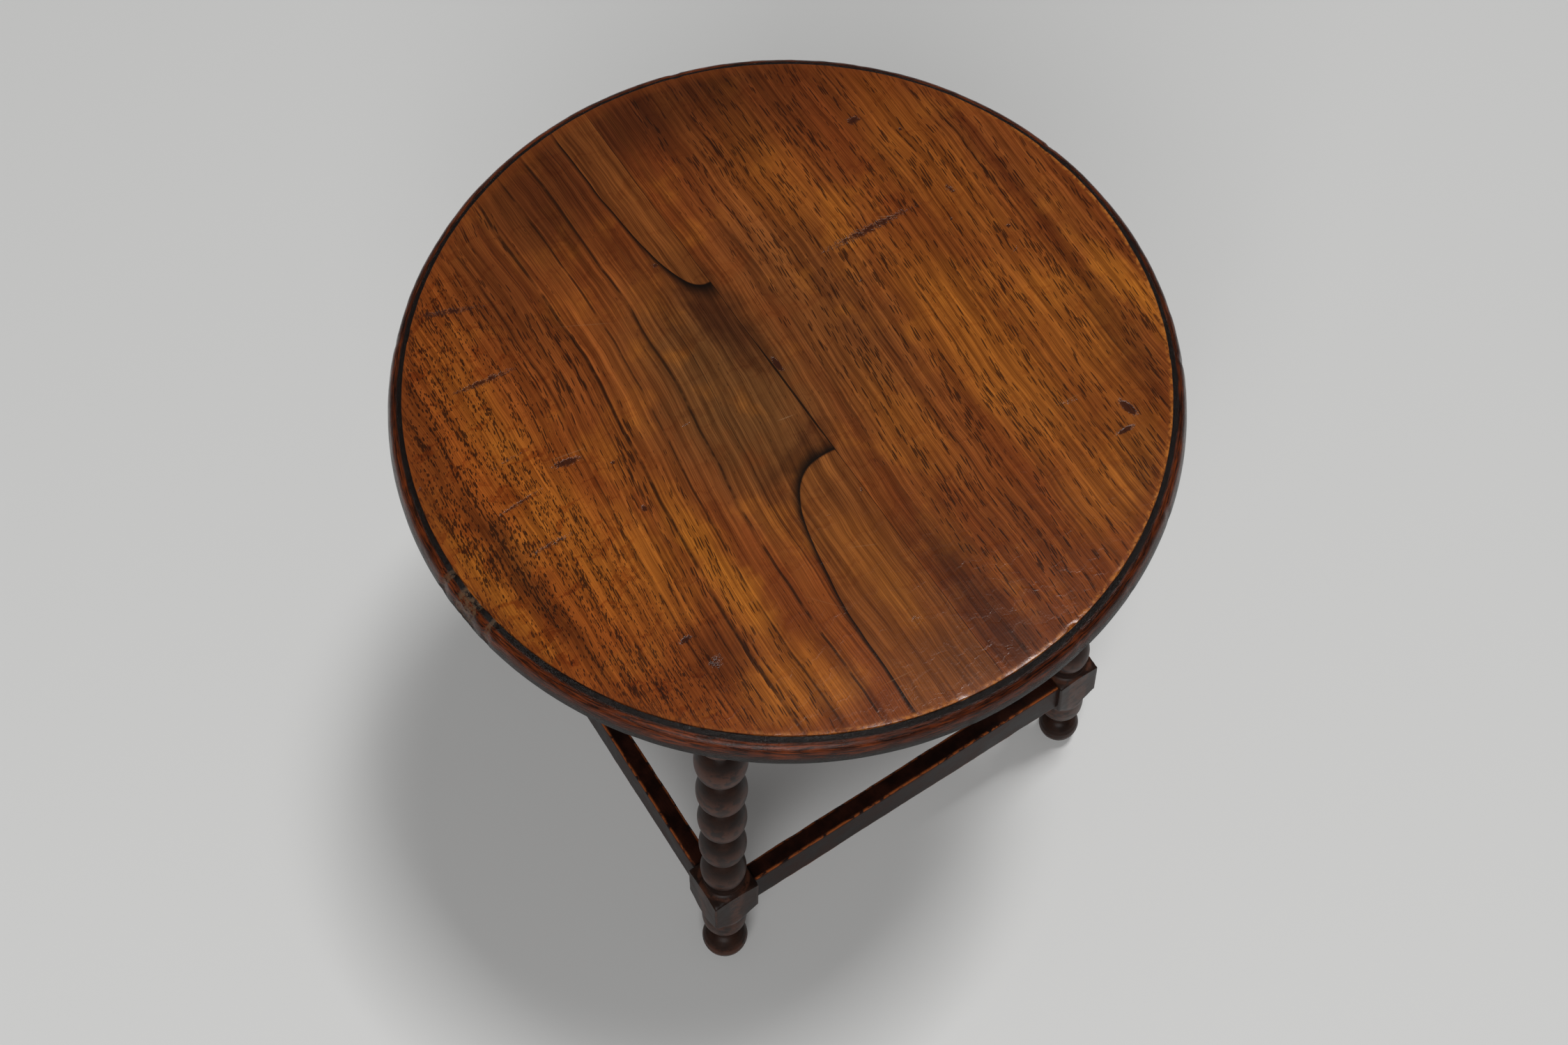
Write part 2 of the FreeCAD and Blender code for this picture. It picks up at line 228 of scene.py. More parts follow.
def waxedWalnut(s):
    material, tree, shader = newMaterial("waxedWalnut")
    place = objectPlace(tree)
    wobbleNoise = addNode(tree, "TexNoise", place, Scale=0.02, Detail=2.0)
    wobble = addNode(tree, "VectorMath", wobbleNoise["Color"], (14, 14, 0), (-7, -7, 0), operation="MULTIPLY_ADD")
    crumbleNoise = addNode(tree, "TexNoise", place, Scale=0.7, Detail=3.0, Roughness=0.7)
    crumble = addNode(tree, "VectorMath", crumbleNoise["Color"], (4, 4, 0), (-2, -2, 0), operation="MULTIPLY_ADD")
    hazyNoise = addNode(tree, "TexNoise", place, Scale=0.09, Detail=4.0, Roughness=0.6)
    hazy = addNode(tree, "VectorMath", hazyNoise["Color"], (22, 30, 0), (-11, -15, 0), operation="MULTIPLY_ADD")
    soft = addNode(tree, "VectorMath", place, hazy)
    rough = addNode(tree, "VectorMath", place, crumble)
    axes = addNode(tree, "SeparateXYZ", place)
    x, y = axes[0], axes[1]
    leftBoard = addNode(tree, "Math", x, s["joint"], operation="LESS_THAN")
    stainsAndFarShade = addNode(tree, "SeparateXYZ", addNode(tree, "Attribute", attribute_name="stainsAndFarShade")["Vector"])
    marks = addNode(tree, "SeparateXYZ", addNode(tree, "Attribute", attribute_name="marks")["Vector"])

    # grain coordinate: the lines drift left on their way to the near edge, most between the rings of the left board
    drift = addNode(tree, "MapRange", y, From_Min=95.0, From_Max=-130.0, To_Max=s["shift"])
    ringZone = addNode(tree, "Math", addNode(tree, "MapRange", x, -185.0, -115.0),
            addNode(tree, "Math", 1.0, addNode(tree, "MapRange", x, -60.0, 60.0, To_Max=0.55), operation="SUBTRACT"))
    bent = addNode(tree, "SeparateXYZ", wobble)[0]
    across = addNode(tree, "Math", drift, ringZone, addNode(tree, "Math", bent, 0.35, x, operation="MULTIPLY_ADD"),
            operation="MULTIPLY_ADD")
    boardStep = addNode(tree, "Math", leftBoard, s["plankStep"])  # the boards come from different planks
    grain = addNode(tree, "CombineXYZ", across, addNode(tree, "Math", y, boardStep, operation="ADD"), axes[2])

    bands = streaks(tree, grain, s["bandWidth"], s["bandLength"], 3.0)
    fine = streaks(tree, grain, s["streakWidth"], s["streakLength"], 3.0, 11.0)
    fibre = streaks(tree, grain, s["fibreWidth"], s["fibreLength"], 2.0, 23.0)
    cloud = addNode(tree, "TexNoise", place, Scale=1 / s["cloud"], Detail=5.0, Roughness=0.6)[0]
    ripple = streaks(tree, soft, s["rippleWidth"], s["rippleLength"], 2.0, 5.0)

    colour = addNode(tree, "Mix", addNode(tree, "MapRange", bands, 0.35, 0.65), hexColour(s["red"]),
            hexColour(s["amber"]))
    orange = addNode(tree, "MapRange", x, -95.0, -165.0)
    colour = addNode(tree, "Mix", addNode(tree, "Math", orange, 0.8), colour, hexColour(s["orange"]))
    colour = addNode(tree, "Mix", stainsAndFarShade[2], colour, hexColour(s["olive"]))
    colour = addNode(tree, "Mix", marks[1], colour, hexColour(s["red"]))
    colour = addNode(tree, "Mix", addNode(tree, "MapRange", cloud, 0.5, 0.72, To_Max=0.45), colour,
            hexColour(s["bright"]))
    colour = addNode(tree, "Mix", addNode(tree, "Math", 0.5, addNode(tree, "MapRange", cloud, 0.25, 0.45, To_Max=0.5),
            operation="SUBTRACT"), colour, hexColour(s["red"]))
    colour = addNode(tree, "Mix", stainsAndFarShade[1], colour, hexColour(s["bright"]))

    # the tongues: paler and smooth inside, black-brown where sap gathered outside their edge
    insideAll, haloAll = None, None
    for middleX, openY, halfWidth, length, halo in s["tongues"]:
        wavyX = addNode(tree, "Math", bent, 0.25, x, operation="MULTIPLY_ADD")
        powers = []
        for value, middle, half in ((wavyX, middleX, halfWidth), (y, openY, length)):
            away = addNode(tree, "Math", value, 1 / half, -middle / half, operation="MULTIPLY_ADD")
            away = addNode(tree, "Math", away, operation="ABSOLUTE")
            powers.append(addNode(tree, "Math", away, s["tongueBend"], operation="POWER"))
        reach = addNode(tree, "Math", addNode(tree, "Math", *powers, operation="ADD"), 1 / s["tongueBend"],
                operation="POWER")
        inside = addNode(tree, "Math", addNode(tree, "MapRange", reach, 1.004, 0.994), leftBoard)
        outside = addNode(tree, "Math", addNode(tree, "MapRange", reach, 0.994, 1.004),
                addNode(tree, "MapRange", reach, 1 + halo, 1.0))
        outside = addNode(tree, "Math", outside, leftBoard)
        insideAll = inside if insideAll is None else addNode(tree, "Math", insideAll, inside, operation="MAXIMUM")
        haloAll = outside if haloAll is None else addNode(tree, "Math", haloAll, outside, operation="MAXIMUM")
    colour = addNode(tree, "Mix", addNode(tree, "Math", insideAll, 0.62), colour, hexColour(s["tongue"]))
    # the first stain channel holds real dark stains and painted shade along the far edge of the top
    dark = addNode(tree, "Math", stainsAndFarShade[0], addNode(tree, "Math", 1.0, addNode(tree, "Math", insideAll, 0.55),
            operation="SUBTRACT"))
    colour = addNode(tree, "Mix", addNode(tree, "Math", dark, 0.85), colour, hexColour(s["deep"]))
    plain = addNode(tree, "Math", 1.0, insideAll, operation="SUBTRACT")

    # streaks and fibres only darken or lighten what is there
    colour = addNode(tree, "Mix", 1.0, colour, addNode(tree, "Mix", addNode(tree, "MapRange", fine, 0.3, 0.7),
            *s["fineTones"]), blend_type="MULTIPLY")
    colour = addNode(tree, "Mix", 1.0, colour, addNode(tree, "Mix", addNode(tree, "MapRange", fibre, 0.3, 0.7),
            *s["fibreTones"]), blend_type="MULTIPLY")
    rippled = addNode(tree, "Math", addNode(tree, "MapRange", ripple, 0.52, 0.68),
            addNode(tree, "Math", orange, 0.55, 0.35, operation="MULTIPLY_ADD"))
    colour = addNode(tree, "Mix", rippled, colour, s["rippleTone"], blend_type="MULTIPLY")

    lines = None
    for lineX, halfWidth, strength in s["ringLines"]:
        away = addNode(tree, "Math", addNode(tree, "Math", across, lineX, operation="SUBTRACT"), operation="ABSOLUTE")
        line = addNode(tree, "MapRange", away, From_Min=halfWidth * 2.4, From_Max=halfWidth * 0.6, To_Max=strength)
        lines = line if lines is None else addNode(tree, "Math", lines, line, operation="MAXIMUM")
    gaps = addNode(tree, "MapRange", streaks(tree, grain, 30.0, 22.0, 3.0, 47.0), 0.3, 0.52)
    lines = addNode(tree, "Math", addNode(tree, "Math", lines, gaps), plain)
    colour = addNode(tree, "Mix", lines, colour, hexColour(s["black"]))
    colour = addNode(tree, "Mix", haloAll, colour, hexColour(s["black"]))

    # pores: specks in rows on the left, long dashes elsewhere, few in the middle
    rows = streaks(tree, grain, s["rowWidth"], s["rowLength"], 2.0, 31.0)
    leaned = addNode(tree, "Math", y, -0.22, across, operation="MULTIPLY_ADD")
    speckPlace = addNode(tree, "CombineXYZ", addNode(tree, "Math", leaned, 0.5 / s["speckWidth"]),
            addNode(tree, "Math", y, 0.5 / s["speckLength"]))
    speckField = addNode(tree, "TexVoronoi", speckPlace, Scale=1.0)["Distance"]
    speckRoom = addNode(tree, "Math", addNode(tree, "Math", addNode(tree, "MapRange", rows, 0.22, 0.62), orange),
            0.43)
    specks = addNode(tree, "Math", addNode(tree, "Math", speckField, speckRoom, operation="LESS_THAN"), 0.85)
    dashPlace = addNode(tree, "CombineXYZ", addNode(tree, "Math",
            addNode(tree, "Math", y, -0.06, across, operation="MULTIPLY_ADD"), 0.5 / s["dashWidth"]),
            addNode(tree, "Math", y, 0.5 / s["dashLength"]))
    dashField = addNode(tree, "TexVoronoi", dashPlace, Scale=1.0)["Distance"]
    middle = addNode(tree, "MapRange", addNode(tree, "Math", addNode(tree, "Math", x, 36.0, operation="ADD"),
            operation="ABSOLUTE"), From_Min=64.0, From_Max=40.0, To_Max=0.72)
    dashRoom = addNode(tree, "Math", addNode(tree, "Math", addNode(tree, "MapRange", rows, 0.34, 0.62),
            addNode(tree, "Math", 1.0, middle, operation="SUBTRACT")), 0.42)
    dashRoom = addNode(tree, "Math", dashRoom, plain)
    dashes = addNode(tree, "Math", addNode(tree, "Math", dashField, dashRoom, operation="LESS_THAN"), 0.78)
    pores = addNode(tree, "Math", specks, dashes, operation="MAXIMUM")
    colour = addNode(tree, "Mix", pores, colour, hexColour(s["pore"]))

    dents = addNode(tree, "MapRange", addNode(tree, "Math", crumbleNoise["Fac"], 0.9, marks[0],
            operation="MULTIPLY_ADD"), 0.8, 1.08)
    colour = addNode(tree, "Mix", addNode(tree, "Math", dents, 0.9), colour, hexColour(s["dent"]))
    scratches = softSpots(tree, place, s["scratches"], 0.6)
    colour = addNode(tree, "Mix", addNode(tree, "Math", scratches, 0.28), colour, hexColour(s["pale"]))

    # joint: a hairline, open in the middle
    fromJoint = addNode(tree, "Math", addNode(tree, "Math",
            addNode(tree, "Math", bent, 0.08, x, operation="MULTIPLY_ADD"), s["joint"], operation="SUBTRACT"),
            operation="ABSOLUTE")
    openness = addNode(tree, "MapRange", addNode(tree, "Math", addNode(tree, "Math", y, 14.0, operation="ADD"),
            operation="ABSOLUTE"), From_Min=52.0, From_Max=15.0, To_Min=0.16, To_Max=0.6)
    jointMask = addNode(tree, "Math", fromJoint, openness, operation="LESS_THAN")
    colour = addNode(tree, "Mix", addNode(tree, "Math", jointMask, 0.9), colour, hexColour(s["black"]))

    # rim: rubbed bright at the arris, with a painted highlight on its near and right side, black wax in the quirk and
    # cove, red-brown on the roll, black-brown below
    level = addNode(tree, "CombineXYZ", x, y)
    radius = addNode(tree, "VectorMath", level, operation="LENGTH")
    nibble = addNode(tree, "TexNoise", place, Scale=0.35, Detail=4.0, Roughness=0.7)[0]
    # redder towards the rim, all the way round
    redderTowardsRim = addNode(tree, "MapRange", addNode(tree, "Math", cloud, 12.0, radius, operation="MULTIPLY_ADD"), 213.0,
            223.0, To_Max=0.45)
    colour = addNode(tree, "Mix", redderTowardsRim, colour, hexColour(s["red"]))
    # pale rubbed colour towards the near and right side: partly real wear, partly a painted highlight where light
    # glints on the arris
    nearSideWearAndHighlight = addNode(tree, "MapRange", addNode(tree, "Math", y, -0.8, addNode(tree, "Math", x, 0.6),
            operation="MULTIPLY_ADD"), -20.0, 150.0)
    arrisWearAndHighlight = addNode(tree, "Math", addNode(tree, "MapRange", radius, s["arrisRadius"] - 3.0,
            s["arrisRadius"] - 0.6), addNode(tree, "MapRange", nibble, 0.42, 0.6, To_Max=0.9))
    colour = addNode(tree, "Mix", addNode(tree, "Math", arrisWearAndHighlight, nearSideWearAndHighlight), colour, hexColour(s["rubbed"]))
    past = addNode(tree, "MapRange", radius, s["arrisRadius"] - 0.1, s["arrisRadius"] + 0.25)
    rollMask = addNode(tree, "Math", addNode(tree, "MapRange", radius, *s["rollFrom"]),
            addNode(tree, "MapRange", radius, *s["rollTo"]))
    around = addNode(tree, "Math", addNode(tree, "Math", y, x, operation="ARCTAN2"), s["arrisRadius"])
    rimPlace = addNode(tree, "CombineXYZ", radius, around, axes[2])
    rubs = streaks(tree, rimPlace, 0.8, 11.0, 4.0)
    rollColour = addNode(tree, "Mix", addNode(tree, "MapRange", rubs, 0.36, 0.66), hexColour(s["rollDark"]),
            hexColour(s["rollRed"]))
    rollColour = addNode(tree, "Mix", 1.0, rollColour,
            addNode(tree, "Mix", addNode(tree, "MapRange", cloud, 0.35, 0.65), *s["rollTones"]),
            blend_type="MULTIPLY")
    rimColour = addNode(tree, "Mix", rollMask, hexColour(s["cove"]), rollColour)
    broken = addNode(tree, "Attribute", attribute_name="broken")["Fac"]
    rimColour = addNode(tree, "Mix", addNode(tree, "Math",
            addNode(tree, "MapRange", broken, 0.0007, 0.0014, To_Max=0.7),
            addNode(tree, "MapRange", nibble, 0.4, 0.55)), rimColour, hexColour(s["rawWood"]))
    colour = addNode(tree, "Mix", past, colour, rimColour)

    shine = addNode(tree, "Math", s["roughness"], addNode(tree, "Math", past, 0.03,
            addNode(tree, "Math", cloud, 0.09), operation="MULTIPLY_ADD"), operation="ADD")
    shader.inputs["Specular IOR Level"].default_value = s["gloss"]
    crackle = addNode(tree, "TexVoronoi", rough, Scale=0.8, feature="DISTANCE_TO_EDGE")
    relief = addNode(tree, "Math", ripple, 0.9, addNode(tree, "Math", fibre, 0.25), operation="MULTIPLY_ADD")
    relief = addNode(tree, "Math", relief, addNode(tree, "Math", dents, 0.8, addNode(tree, "Math", pores, 0.5),
            operation="MULTIPLY_ADD"), operation="SUBTRACT")
    relief = addNode(tree, "Math", addNode(tree, "Math", past, addNode(tree, "MapRange", crackle, 0.0, 0.35)),
            addNode(tree, "Math", 1.4, rollMask, operation="SUBTRACT"), relief, operation="MULTIPLY_ADD")
    relief = addNode(tree, "Math", relief, addNode(tree, "Math", jointMask, 3.0), operation="SUBTRACT")
    dressSurface(tree, shader, colour, shine, relief, 0.5, 0.0002)
    return material


# legs: bobbin turned from square stock, so at every height a leg is the smaller of the turned round and the square
leg = {
    "height": 0.447, "footSpread": 0.150, "splay": 3.25, "stock": 0.033, "corner": 0.0243,
    "beadRadius": 0.0159, "grooveRadius": 0.0076, "beadPitch": 0.0437, "firstBead": 0.153, "beadsFrom": 0.1356,
    "beadsTo": 0.39335,
    # turner's profile below and above the beads: height and radius along the leg
    "footProfile": ((-0.0007, 0.0), (0.0010, 0.0068), (0.0035, 0.01066), (0.0070, 0.01366), (0.0110, 0.0155),
        (0.0157, 0.0162), (0.0204, 0.0155), (0.0244, 0.01366), (0.0279, 0.01066), (0.0294, 0.0084),
        (0.0305, 0.0074), (0.0325, 0.0074), (0.0360, 0.0087), (0.0400, 0.0101), (0.0450, 0.0117), (0.0510, 0.0137),
        (0.0530, 0.0146), (0.0560, 0.0154), (0.0620, 0.0158), (0.0690, 0.0157), (0.0750, 0.0153), (0.0830, 0.0170),
        (0.0890, 0.0204), (0.0930, 0.0243), (0.1300, 0.0243), (0.1316, 0.0180), (0.1332, 0.0136), (0.1356, 0.0136)),
    "overrun": 1.012, "sink": 0.0007, "ballTop": 0.0315, "swell": (0.015, 0.965), "ringGap": 0.0016,
    "shoulderBend": 0.7, "ringHeight": 0.0024, "ringRadius": 0.0136, "shoulder": 0.0032, "softArris": 0.0009,
    "wear": 0.00035, "wearMiddle": 0.62, "wearScale": 70.0, "curveScale": 40.0, "around": 96, "rings": 640,
}


def newTree(name, inputs):  # a geometry tree with named inputs for its sizes
    tree = bpy.data.node_groups.new(name, "GeometryNodeTree")
    for label, kind in inputs:
        tree.interface.new_socket(label, in_out="INPUT", socket_type="NodeSocket" + kind)
    tree.interface.new_socket("Geometry", in_out="OUTPUT", socket_type="NodeSocketGeometry")
    return tree, tree.nodes.new("NodeGroupInput").outputs, tree.nodes.new("NodeGroupOutput").inputs


def closeTree(tree, geometry, finish, result):
    real = addNode(tree, "GeometryNodeRealizeInstances", geometry)
    tree.links.new(addNode(tree, "GeometryNodeSetMaterial", real, Material=finish), result["Geometry"])
    return tree


def bobbinLegTree(s):
    tree, sizes, result = newTree("bobbinLeg", (("Corner", "Vector"), ("Bead Radius", "Float"),
            ("Groove Radius", "Float"), ("Bead Pitch", "Float"), ("Stock", "Float"), ("Foot Fullness", "Float"),
            ("Wear", "Float"), ("Finish", "Material")))
    span = s["height"] * s["overrun"] + s["sink"]  # longer than the leg, whose ends are then cut level
    blank = addNode(tree, "GeometryNodeMeshCylinder", Vertices=s["around"], Side_Segments=s["rings"], Radius=1.0,
            Depth=1.0, fill_type="NGON")
    spot = addNode(tree, "SeparateXYZ", addNode(tree, "GeometryNodeInputPosition"))
    height = addNode(tree, "Math", addNode(tree, "Math", spot[2], 0.5, operation="ADD"), span, -s["sink"],
            operation="MULTIPLY_ADD")
    phase = addNode(tree, "Math", addNode(tree, "Math", height, s["firstBead"], operation="SUBTRACT"),
            sizes["Bead Pitch"], operation="DIVIDE")
    off = addNode(tree, "Math", addNode(tree, "Math", phase, addNode(tree, "Math", phase, operation="ROUND"),
            operation="SUBTRACT"), 2.0)
    pinch = addNode(tree, "Math", sizes["Groove Radius"], sizes["Bead Radius"], operation="DIVIDE")
    cut = addNode(tree, "Math", 1.0, addNode(tree, "Math", pinch, pinch), operation="SUBTRACT")
    # the beads grow a little on the way up
    swell = addNode(tree, "Math", phase, *s["swell"], operation="MULTIPLY_ADD")
    fullest = addNode(tree, "Math", sizes["Bead Radius"], swell)
    lost = addNode(tree, "Math", cut, addNode(tree, "Math", off, off))
    rest = addNode(tree, "Math", addNode(tree, "Math", 1.0, lost, operation="SUBTRACT"), operation="SQRT")
    bead = addNode(tree, "Math", fullest, rest)
    foot = tree.nodes.new("ShaderNodeFloatCurve")
    low, high = s["footProfile"][0][0], s["footProfile"][-1][0]
    curve = foot.mapping.curves[0]
    for i, (z, r) in enumerate(s["footProfile"]):
        where = ((z - low) / (high - low), r * s["curveScale"])
        point = curve.points[i] if i < 2 else curve.points.new(*where)
        point.location = where
    for point in curve.points:
        point.handle_type = "VECTOR"
    foot.mapping.update()
    tree.links.new(addNode(tree, "Math", addNode(tree, "Math", height, low, operation="SUBTRACT"), high - low,
            operation="DIVIDE"), foot.inputs["Value"])
    onBall = addNode(tree, "Math", height, s["ballTop"], operation="LESS_THAN")
    fullness = addNode(tree, "Math", addNode(tree, "Math", sizes["Foot Fullness"], 1.0, operation="SUBTRACT"), onBall,
            1.0, operation="MULTIPLY_ADD")
    footRadius = addNode(tree, "Math", addNode(tree, "Math", foot.outputs[0], fullness), s["curveScale"],
            operation="DIVIDE")
    ringTop = s["beadsTo"] + s["ringGap"]
    blockFrom = ringTop + s["ringHeight"] + s["shoulder"]
    ring = addNode(tree, "Math", addNode(tree, "Math", height, ringTop, operation="GREATER_THAN"), s["ringRadius"])
    rise = addNode(tree, "Math", addNode(tree, "Math", height, blockFrom - s["shoulder"], operation="SUBTRACT"),
            s["shoulder"], operation="DIVIDE")
    riseClamped = addNode(tree, "Clamp", rise)
    block = addNode(tree, "Math", addNode(tree, "Math", riseClamped, s["shoulderBend"], operation="POWER"),
            s["corner"] - s["ringRadius"], ring, operation="MULTIPLY_ADD")
    above = addNode(tree, "Math", block, s["grooveRadius"], operation="MAXIMUM")
    isFoot = addNode(tree, "Math", height, s["beadsFrom"], operation="LESS_THAN")
    isAbove = addNode(tree, "Math", height, s["beadsTo"], operation="GREATER_THAN")
    isBead = addNode(tree, "Math", addNode(tree, "Math", 1.0, isFoot, operation="SUBTRACT"), isAbove,
            operation="SUBTRACT")
    turned = addNode(tree, "Math", isAbove, above,
            addNode(tree, "Math", isBead, bead, addNode(tree, "Math", isFoot, footRadius), operation="MULTIPLY_ADD"),
            operation="MULTIPLY_ADD")
    largest = addNode(tree, "Math", addNode(tree, "Math", spot[0], operation="ABSOLUTE"),
            addNode(tree, "Math", spot[1], operation="ABSOLUTE"), operation="MAXIMUM")
    square = addNode(tree, "Math", addNode(tree, "Math", sizes["Stock"], 0.5), largest, operation="DIVIDE")
    radius = addNode(tree, "Math", turned, square, s["softArris"], operation="SMOOTH_MIN")
    flatPlace = addNode(tree, "CombineXYZ", addNode(tree, "Math", spot[0], radius),
            addNode(tree, "Math", spot[1], radius), height)
    seeded = addNode(tree, "VectorMath", flatPlace, sizes["Corner"])
    worn = addNode(tree, "TexNoise", seeded, Scale=s["wearScale"], Detail=3.0)[0]
    radius = addNode(tree, "Math", addNode(tree, "Math", worn, s["wearMiddle"], operation="SUBTRACT"), sizes["Wear"],
            radius, operation="MULTIPLY_ADD")
    upright = addNode(tree, "CombineXYZ", addNode(tree, "Math", spot[0], radius),
            addNode(tree, "Math", spot[1], radius), height)
    corner = addNode(tree, "SeparateXYZ", sizes["Corner"])
    hinge = addNode(tree, "CombineXYZ", corner[1], addNode(tree, "Math", corner[0], -1.0))
    leanBy = math.atan(math.tan(math.radians(s["splay"])) * math.sqrt(2))
    leaned = addNode(tree, "VectorRotate", upright, Angle=leanBy, Axis=hinge, rotation_type="AXIS_ANGLE")
    stood = addNode(tree, "VectorMath", sizes["Corner"], (s["footSpread"], s["footSpread"], 0), leaned,
            operation="MULTIPLY_ADD")
    ends = addNode(tree, "SeparateXYZ", stood)
    level = addNode(tree, "Clamp", ends[2], Min=0.0, Max=s["height"])
    final = addNode(tree, "CombineXYZ", ends[0], ends[1], level)
    crest = addNode(tree, "Math", addNode(tree, "Math", radius, s["grooveRadius"], operation="SUBTRACT"),
            s["beadRadius"] - s["grooveRadius"], operation="DIVIDE")
    stored = addNode(tree, "GeometryNodeStoreNamedAttribute", blank[0], Name="crest", Value=crest, data_type="FLOAT",
            domain="POINT")
    shaped = addNode(tree, "GeometryNodeSetPosition", stored, Position=final)
    smooth = addNode(tree, "GeometryNodeSetShadeSmooth", shaped, Shade_Smooth=True)
    return closeTree(tree, smooth, sizes["Finish"], result)


# runs a tree on a mesh and keeps the result as a plain mesh
def bakedPiece(name, tree, values, node, start=None):
    piece = bpy.data.objects.new(name, start or bpy.data.meshes.new(name + "Blank"))
    scene.collection.objects.link(piece)
    modifier = piece.modifiers.new("shape", "NODES")
    modifier.node_group = tree
    for item in tree.interface.items_tree:
        if item.in_out == "INPUT" and item.name in values:
            modifier[item.identifier] = values[item.name]
    mesh = bpy.data.meshes.new_from_object(piece.evaluated_get(bpy.context.evaluated_depsgraph_get()))
    piece.modifiers.remove(modifier)
    mesh.name = name
    piece.data = mesh
    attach(piece, "root")
    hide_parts(node)
    return piece


# rails: planks worn along their arrises, whose ends follow the lean of the legs
rails = {"low": 0.091, "height": 0.037, "thickness": 0.0133, "wear": 0.0016, "softArris": 0.0012, "setback": 0.0039,
         "reach": 0.0022, "arrisPowers": (8.0, 18.0), "gnawScale": 38.0, "gnawFrom": (0.35, 0.7), "around": 64,
         "steps": 150}


def wornRailTree(s, legs):
    tree, sizes, result = newTree("wornRail", (("Low", "Float"), ("Height", "Float"), ("Thickness", "Float"),
            ("Wear", "Float"), ("Arris", "Float"), ("Quarter", "Float"), ("Finish", "Material")))
    halfStock = legs["stock"] / 2
    slope = math.tan(math.radians(legs["splay"]))
    profile = addNode(tree, "GeometryNodeCurvePrimitiveQuadrilateral", Width=sizes["Thickness"],
            Height=sizes["Height"], mode="RECTANGLE")
    rounded = addNode(tree, "GeometryNodeFilletCurve", profile, Radius=sizes["Arris"])
    outline = addNode(tree, "GeometryNodeResampleCurve", rounded, Count=s["around"])
    path = addNode(tree, "GeometryNodeCurvePrimitiveLine", Start=(-1, 0, 0), End=(1, 0, 0))
    lengths = addNode(tree, "GeometryNodeResampleCurve", path, Count=s["steps"])
    swept = addNode(tree, "GeometryNodeCurveToMesh", lengths, Fill_Caps=True, Profile_Curve=outline)
    spot = addNode(tree, "SeparateXYZ", addNode(tree, "GeometryNodeInputPosition"))
    rise = addNode(tree, "Math", spot[2], addNode(tree, "Math", sizes["Height"], 0.5, sizes["Low"],
            operation="MULTIPLY_ADD"), operation="ADD")
    reach = addNode(tree, "Math", legs["footSpread"] - halfStock + s["reach"], addNode(tree, "Math", rise, slope),
            operation="SUBTRACT")
    along = addNode(tree, "Math", spot[0], reach)
    inward = addNode(tree, "Math", spot[1], addNode(tree, "Math", sizes["Thickness"], 0.5, s["setback"] - halfStock,
            operation="MULTIPLY_ADD"), operation="ADD")
    # wear eats the arrises: it grows towards a corner of the section and comes and goes along the rail
    edgeY = addNode(tree, "Math", addNode(tree, "Math", spot[1], operation="ABSOLUTE"),
            addNode(tree, "Math", sizes["Thickness"], 0.5), operation="DIVIDE")
    edgeZ = addNode(tree, "Math", addNode(tree, "Math", spot[2], operation="ABSOLUTE"),
            addNode(tree, "Math", sizes["Height"], 0.5), operation="DIVIDE")
    arris = addNode(tree, "Math", addNode(tree, "Math", edgeY, s["arrisPowers"][0], operation="POWER"),
            addNode(tree, "Math", edgeZ, s["arrisPowers"][1], operation="POWER"))
    inPlace = addNode(tree, "CombineXYZ", addNode(tree, "Math", along, sizes["Quarter"], operation="ADD"), inward,
            rise)
    gnaw = addNode(tree, "TexNoise", inPlace, Scale=s["gnawScale"], Detail=3.0, Roughness=0.6)[0]
    eaten = addNode(tree, "Math", addNode(tree, "Math", arris, sizes["Wear"]),
            addNode(tree, "MapRange", gnaw, *s["gnawFrom"], interpolation_type="LINEAR"))
    inward = addNode(tree, "Math", inward, addNode(tree, "Math", addNode(tree, "Math", spot[1], operation="SIGN"),
            eaten), operation="SUBTRACT")
    rise = addNode(tree, "Math", rise, addNode(tree, "Math", addNode(tree, "Math", spot[2], operation="SIGN"), eaten),
            operation="SUBTRACT")
    upright = addNode(tree, "CombineXYZ", along, inward, rise)
    leaned = addNode(tree, "VectorRotate", upright, Angle=-math.radians(legs["splay"]), rotation_type="X_AXIS")
    front = addNode(tree, "VectorMath", leaned, (0, -legs["footSpread"], 0))
    turned = addNode(tree, "VectorRotate", front, Angle=addNode(tree, "Math", sizes["Quarter"], math.pi / 2),
            rotation_type="Z_AXIS")
    ends = addNode(tree, "SeparateXYZ", turned)
    final = addNode(tree, "CombineXYZ", ends[0], ends[1],
            addNode(tree, "Math", ends[2], legs["height"], operation="MINIMUM"))
    stored = addNode(tree, "GeometryNodeStoreNamedAttribute", swept, Name="arris", Value=arris, data_type="FLOAT",
            domain="POINT")
    lengthwise = addNode(tree, "GeometryNodeStoreNamedAttribute", stored, Name="plank", Value=inPlace,
            data_type="FLOAT_VECTOR", domain="POINT")
    shaped = addNode(tree, "GeometryNodeSetPosition", lengthwise, Position=final)
    smooth = addNode(tree, "GeometryNodeSetShadeSmooth", shaped, Shade_Smooth=False)
    return closeTree(tree, smooth, sizes["Finish"], result)


